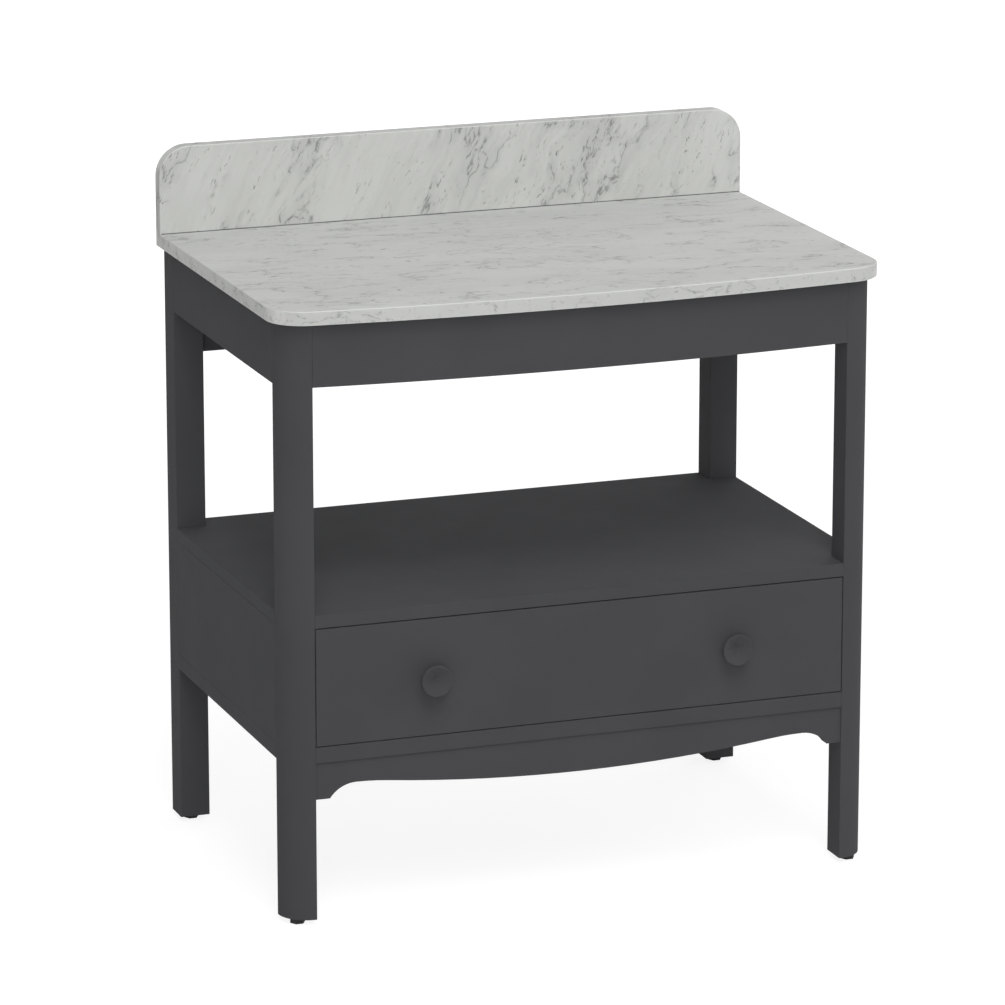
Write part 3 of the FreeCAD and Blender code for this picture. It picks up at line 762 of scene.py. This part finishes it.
@dataclass
class Screw:
    """A cross-head screw, worked out along its axis from the seat of its head.

    The head is a low dome with a cross sunk in it, and the thread's radius is the core's plus
    a triangular wave of height over pitch less turn, so the crest climbs one pitch a turn.
    """

    shank: float
    length: float
    head: float
    head_height: float
    pitch: float
    tip: Tip
    around: int = 32
    per_turn: int = 4
    thread_depth_share: float = 0.24
    cross_share: float = 0.62
    cross_width_share: float = 0.17
    cross_depth_share: float = 0.62
    cross_edge_share: float = 0.25
    blunt_share: float = 0.08

    def head_rings(self, turn: np.ndarray) -> np.ndarray:
        """Rings from the middle of the head out over its dome to the seat.

        Each ring is a share of the head's radius out and a share of its height up. The cross is
        sunk where a point is within an arm of either axis and within reach of the middle.

        Args:
            turn: The angles round the head.

        Returns:
            The points, as an array of rings by angles by 3, with the seat at z = 0.
        """
        share = np.array([0.06, 0.14, 0.24, 0.34, 0.44, 0.54, 0.62, 0.70, 0.80, 0.89, 0.96, 1.0, 1.0])
        rise = np.array([1.0, 1.0, 0.995, 0.985, 0.97, 0.95, 0.93, 0.88, 0.72, 0.50, 0.26, 0.08, 0.0])
        radius = (share * self.head)[:, None] * np.ones_like(turn)[None, :]
        x, y = radius * np.cos(turn), radius * np.sin(turn)
        arm = self.cross_width_share * self.head
        reach = self.cross_share * self.head
        edge = self.cross_edge_share * arm
        thin = np.clip((arm - np.minimum(abs(x), abs(y))) / edge, 0.0, 1.0)
        inside = np.clip((reach - radius) / edge, 0.0, 1.0)
        sink = thin * inside * self.cross_depth_share * self.head_height
        z = -(rise * self.head_height)[:, None] + sink
        return np.stack([x, y, z], axis=-1)

    def thread_rings(self, turn: np.ndarray) -> np.ndarray:
        """Rings down the shank, with the thread wound round it and a pointed tip drawn in.

        Args:
            turn: The angles round the shank.

        Returns:
            The points, as an array of rings by angles by 3, with the seat at z = 0.
        """
        steps = int(self.length / self.pitch * self.per_turn)
        z = np.linspace(0.0, self.length, steps + 1)[:, None]
        wave = z / self.pitch - turn[None, :] / math.tau
        crest = 1 - abs(2 * (wave % 1.0) - 1)
        radius = self.shank * (1 - self.thread_depth_share * (1 - crest))
        if self.tip.value:
            radius = radius * np.clip((self.length - z) / self.tip.value, self.blunt_share, 1.0)
        return np.stack([radius * np.cos(turn), radius * np.sin(turn), z + 0 * radius], axis=-1)

    def add_to(self, skin: Skin, seat: Vector, way: Vector) -> None:
        """Adds one screw with its head on the seat and its shank along the way.

        Args:
            skin: The skin that the screw goes into.
            seat: The middle of the head's under side, in the frame.
            way: The direction of the shank, of length 1.
        """
        turn = np.arange(self.around) * math.tau / self.around
        local = np.concatenate([self.head_rings(turn), self.thread_rings(turn)])
        axes = np.array(way.to_track_quat("Z", "Y").to_matrix())
        skin.add_rings(local @ axes.T + np.array(seat))


@dataclass
class Fixings:
    """Every screw of the drawer and its runners, in place of the plain pins."""

    zinc: bpy.types.Material
    crease: float = 40.0

    def like(self, node: str, body: str, screw: Screw, seats: list[tuple[Vector, Vector]]) -> None:
        """Makes one set of like screws and lets it stand for its CAD node.

        Args:
            node: The CAD node that the set replaces.
            body: The body that carries it.
            screw: The screw that all of them are.
            seats: The seat of each head and the way of its shank.
        """
        skin = Skin()
        for seat, way in seats:
            screw.add_to(skin, seat, way)
        piece = skin.made(f"{node}_threaded", self.zinc, self.crease)
        set_on(piece, body, node)

    def islands(self, node: str) -> list[tuple[np.ndarray, np.ndarray]]:
        """The lowest and highest corner of each separate solid of a node.

        Points of the node's mesh that lie in one grid cell are taken as one, faces join them
        into groups, and the groups' labels are spread until they stop changing.

        Args:
            node: The CAD node.

        Returns:
            The two corners of each solid's box.
        """
        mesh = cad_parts[node].data
        points = np.empty(len(mesh.vertices) * 3)
        mesh.vertices.foreach_get("co", points)
        points = points.reshape(-1, 3)
        corners = np.empty(len(mesh.loops), int)
        mesh.loops.foreach_get("vertex_index", corners)
        _, same = np.unique(np.round(points, 6), axis=0, return_inverse=True)
        same = same.reshape(-1)
        faces = same[corners.reshape(-1, 3)]
        label = np.arange(same.max() + 1)
        while True:
            lowest = label[faces].min(axis=1)
            spread = label.copy()
            for corner in range(3):
                np.minimum.at(spread, faces[:, corner], lowest)
            spread = spread[spread]
            if (spread == label).all():
                break
            label = spread
        groups = label[same]
        solids = [points[groups == group] for group in np.unique(groups)]
        return [(solid.min(axis=0), solid.max(axis=0)) for solid in solids]

    def pins(self, node: str, way: Vector) -> list[tuple[Vector, Vector, float]]:
        """Where a node's pins stand.

        Args:
            node: The CAD node.
            way: The way in of its pins, or for a runner of those on the left.

        Returns:
            For each pin the tip of its head, the way in, and its length over all.
        """
        axis = [abs(part) for part in way].index(1.0)
        found = []
        for low, high in self.islands(node):
            middle = (low + high) / 2
            toward = 1.0 if way[axis] > 0 else -1.0
            if node.startswith("runner") and middle[0] > 0:
                toward = -toward
            tip = Vector(middle)
            tip[axis] = low[axis] if toward > 0 else high[axis]
            inward = Vector([toward * part for part in (axis == 0, axis == 1, axis == 2)])
            found.append((tip, inward, high[axis] - low[axis]))
        return found

    def seats(self, node: str, way: Vector, head_height: float) -> list[tuple[Vector, Vector]]:
        """The seats of a node's screws, one head height in from the tips of their heads."""
        return [(tip + inward * head_height, inward) for tip, inward, _ in self.pins(node, way)]

    def build(self) -> None:
        """Makes the four sets of screws."""
        right, forward = Vector((1, 0, 0)), Vector((0, -1, 0))
        small = {"shank": 0.0020, "head": 0.0038, "head_height": 0.0015, "pitch": 0.0014,
                 "tip": Tip.WOOD}
        stout = {"shank": 0.0022, "head": 0.0045, "head_height": 0.0025, "pitch": 0.0018,
                 "tip": Tip.WOOD}
        machine = {"shank": 0.0020, "head": 0.0045, "head_height": 0.0025, "pitch": 0.0007,
                   "tip": Tip.SQUARE}
        for node, body, way, kind in (
            ("runner_screws_case", "frame", -right, small),
            ("runner_screws_drawer", "drawer", right, small),
            ("drawer_front_screws", "drawer", forward, stout),
            ("knob_screws", "drawer", forward, machine),
        ):
            height = kind["head_height"]
            length = self.pins(node, way)[0][2] - height
            self.like(node, body, Screw(length=length, **kind), self.seats(node, way, height))


@dataclass
class RunnerWork:
    """The finish of the two drawer runners."""

    def build(self) -> None:
        """Dresses the channels, cages and balls."""
        zinc = Plate("runner_zinc", Grain.DEPTH, shade(190, 193, 198), shade(168, 171, 176), 0.30)
        parts, sides = ("case", "middle", "drawer"), ("left", "right")
        channels = [f"runner_{part}_{side}" for part in parts for side in sides]
        dress(channels, zinc.made())
        bright = Plate("cage_steel", Grain.DEPTH, shade(206, 206, 204), shade(182, 182, 182), 0.24)
        gaps = ("case", "drawer")
        cages = [f"ball_cage_{gap}_{side}" for gap in gaps for side in sides]
        dress(cages, bright.made())
        polished = Plate("ball_steel", Grain.DEPTH, shade(222, 222, 222), shade(206, 206, 208), 0.13)
        balls = [f"balls_{gap}_{side}" for gap in gaps for side in sides]
        dress(balls, polished.made())


@dataclass
class FeetWork:
    """The levelling feet: hexagonal nylon pads on threaded rods, and the inserts they turn in."""

    zinc: bpy.types.Material
    pitch: float = 0.00125
    root_share: float = 0.16
    around: int = 24
    per_turn: int = 5
    chamfer: float = 0.0012
    crease: float = 50.0

    def rod(self, corner: str) -> bpy.types.Object:
        """One rod in place of its plain stem.

        Its radius is the crest's less a triangular wave of height over pitch less turn, as on
        the screws, and at both ends no more than a chamfer that rises at 45 degrees.

        Args:
            corner: The leg that it stands in, by its row and side.

        Returns:
            The rod.
        """
        low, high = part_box(f"foot_stem_{corner}")
        crest = (high.x - low.x) / 2
        length = high.z - low.z
        turn = np.arange(self.around) * math.tau / self.around
        z = np.linspace(0.0, length, int(length / self.pitch * self.per_turn) + 1)[:, None]
        wave = abs(2 * ((z / self.pitch - turn[None, :] / math.tau) % 1.0) - 1)
        radius = crest * (1 - self.root_share * wave)
        from_end = np.minimum(z, length - z)
        drawn = np.clip(crest - self.chamfer + from_end, 0.0, crest)
        radius = np.minimum(radius, drawn)
        middle = (low + high) / 2
        grid = np.stack([middle.x + radius * np.cos(turn), middle.y + radius * np.sin(turn),
                         low.z + z + 0 * radius], axis=-1)
        skin = Skin()
        skin.add_rings(grid)
        return skin.made(f"foot_rod_{corner}", self.zinc, self.crease)

    def build(self) -> None:
        """Dresses the pads and makes the rods."""
        nylon = Moulded("black_nylon", shade(34, 34, 35), shade(42, 42, 43), 0.50)
        corners = [f"{row}_{side}" for row in ("front", "back") for side in ("left", "right")]
        dress([f"foot_pad_{corner}" for corner in corners], nylon.made())
        for corner in corners:
            set_on(self.rod(corner), f"foot_{corner}", f"foot_stem_{corner}")
        dress(["foot_inserts"], self.zinc)


@dataclass(frozen=True)
class Lamp:
    """A soft square lamp that looks at the middle of the washstand.

    It stands at the azimuth and the elevation, in degrees. Its power is its share times pi
    squared times its distance squared, which lights a surface that faces it by that share of
    plain daylight. Glossy surfaces show it where it is mirrored.
    """

    name: str
    azimuth: float
    elevation: float
    share: float
    mirrored: bool = True
    distance: float = 16.0
    size: float = 7.0

    def hang(self) -> None:
        """Puts the lamp into the scene."""
        light = bpy.data.lights.new(self.name, "AREA")
        light.size = self.size
        light.energy = self.share * (math.pi * self.distance) ** 2
        lamp = bpy.data.objects.new(self.name, light)
        middle = (cad_low + cad_high) / 2
        away = direction(self.azimuth, self.elevation)
        lamp.location = middle + away * self.distance
        lamp.rotation_mode = "QUATERNION"
        lamp.rotation_quaternion = away.to_track_quat("Z", "Y")
        lamp.visible_camera = False
        lamp.visible_glossy = self.mirrored
        bpy.context.scene.collection.objects.link(lamp)


@dataclass
class Studio:
    """A pale floor without edges, soft light and the camera."""

    floor_half: float = 30.0
    floor_drop: float = 0.0002
    floor_colour: tuple = shade(246, 246, 246)
    floor_glow: float = 0.72
    floor_strength: float = 1.19
    shadow_reach: float = 1.4
    shadow_end: float = 4.2
    ambient: float = 0.24
    lens: float = 201.26
    camera_reach: float = 100.0
    camera_place: tuple[float, float, float] = (-2.6944, -7.3168, 2.5649)
    azimuth: float = -20.03
    elevation: float = 14.766
    lamps: tuple[Lamp, ...] = (
        Lamp("key_lamp", -6, 45, 0.24),
        Lamp("high_lamp", -12, 62, 0.23),
        Lamp("front_lamp", -20, 15, 0.31),
        Lamp("right_lamp", 70, 25, 0.14),
        Lamp("back_lamp", 135, 38, 0.10),
        Lamp("low_right_lamp", 112, 4, 0.24, mirrored=False),
        Lamp("low_back_lamp", 176, 4, 0.32, mirrored=False),
    )

    def background(self) -> None:
        """White to the camera, to mirrors and to glass, and an even soft light to all else."""
        world = bpy.data.worlds.new("studio")
        world.use_nodes = True
        bpy.context.scene.world = world
        recipe = Recipe(world.node_tree)
        seen = recipe.light_path("Is Camera Ray", "Is Glossy Ray", "Is Transmission Ray")
        soft = recipe.out("ShaderNodeBackground", 0, None, {"Color": WHITE, "Strength": self.ambient})
        white = recipe.out("ShaderNodeBackground", 0, None, {"Color": WHITE, "Strength": 1.0})
        mixed = recipe.out("ShaderNodeMixShader", 0, None, {0: seen, 1: soft, 2: white})
        recipe.node("ShaderNodeOutputWorld", None, {"Surface": mixed})

    def floor_finish(self) -> bpy.types.Material:
        """Matt to the light, and partly glowing to the camera, so that only a faint shadow shows.

        The glow's share grows from its value near the stand to 1 between the shadow's reach and
        its end, and from below the floor is clear.
        """
        recipe, material = Recipe.material("studio_floor")
        matt = recipe.out("ShaderNodeBsdfDiffuse", 0, None, {"Color": self.floor_colour})
        sockets = {"Color": WHITE, "Strength": self.floor_strength}
        glow = recipe.out("ShaderNodeEmission", 0, None, sockets)
        faded = recipe.ramped(recipe.length(recipe.place()), self.shadow_reach, self.shadow_end)
        share = self.floor_glow + faded * (1 - self.floor_glow)
        sockets = {0: recipe.light_path("Is Camera Ray") * share, 1: matt, 2: glow}
        lit = recipe.out("ShaderNodeMixShader", 0, None, sockets)
        clear = recipe.out("ShaderNodeBsdfTransparent", 0)
        under = recipe.out("ShaderNodeNewGeometry", "Backfacing")
        whole = recipe.out("ShaderNodeMixShader", 0, None, {0: under, 1: lit, 2: clear})
        recipe.node("ShaderNodeOutputMaterial", None, {"Surface": whole})
        return material

    def floor(self) -> None:
        """A wide pale sheet just under the feet."""
        half, z = self.floor_half, -self.floor_drop
        mesh = bpy.data.meshes.new("studio_floor")
        corners = [(-half, -half, z), (half, -half, z), (half, half, z), (-half, half, z)]
        mesh.from_pydata(corners, [], [(0, 1, 2, 3)])
        mesh.materials.append(self.floor_finish())
        sheet = bpy.data.objects.new("studio_floor", mesh)
        bpy.context.scene.collection.objects.link(sheet)

    def camera(self) -> None:
        """The photograph's viewpoint."""
        data = bpy.data.cameras.new("camera")
        data.lens = self.lens
        data.clip_end = self.camera_reach
        camera = bpy.data.objects.new("camera", data)
        camera.location = self.camera_place
        camera.rotation_mode = "QUATERNION"
        camera.rotation_quaternion = direction(self.azimuth, self.elevation).to_track_quat("Z", "Y")
        bpy.context.scene.collection.objects.link(camera)
        bpy.context.scene.camera = camera

    def build(self) -> None:
        """Sets up the studio."""
        bpy.context.scene.view_settings.view_transform = "Standard"
        self.background()
        self.floor()
        for lamp in self.lamps:
            lamp.hang()
        self.camera()


def main() -> None:
    """Builds the looks of the washstand, one sub-assembly after another."""
    logging.basicConfig(level=logging.INFO, format="%(message)s")
    paint = Eggshell().made()
    zinc = Plate("screw_zinc", Grain.DEPTH, shade(196, 197, 200), shade(172, 173, 176), 0.34).made()
    Stonework().build()
    Joinery(paint).build()
    DrawerWork(paint).build()
    RunnerWork().build()
    Fixings(zinc).build()
    FeetWork(zinc).build()
    Studio().build()


if __name__ == "__main__":
    main()
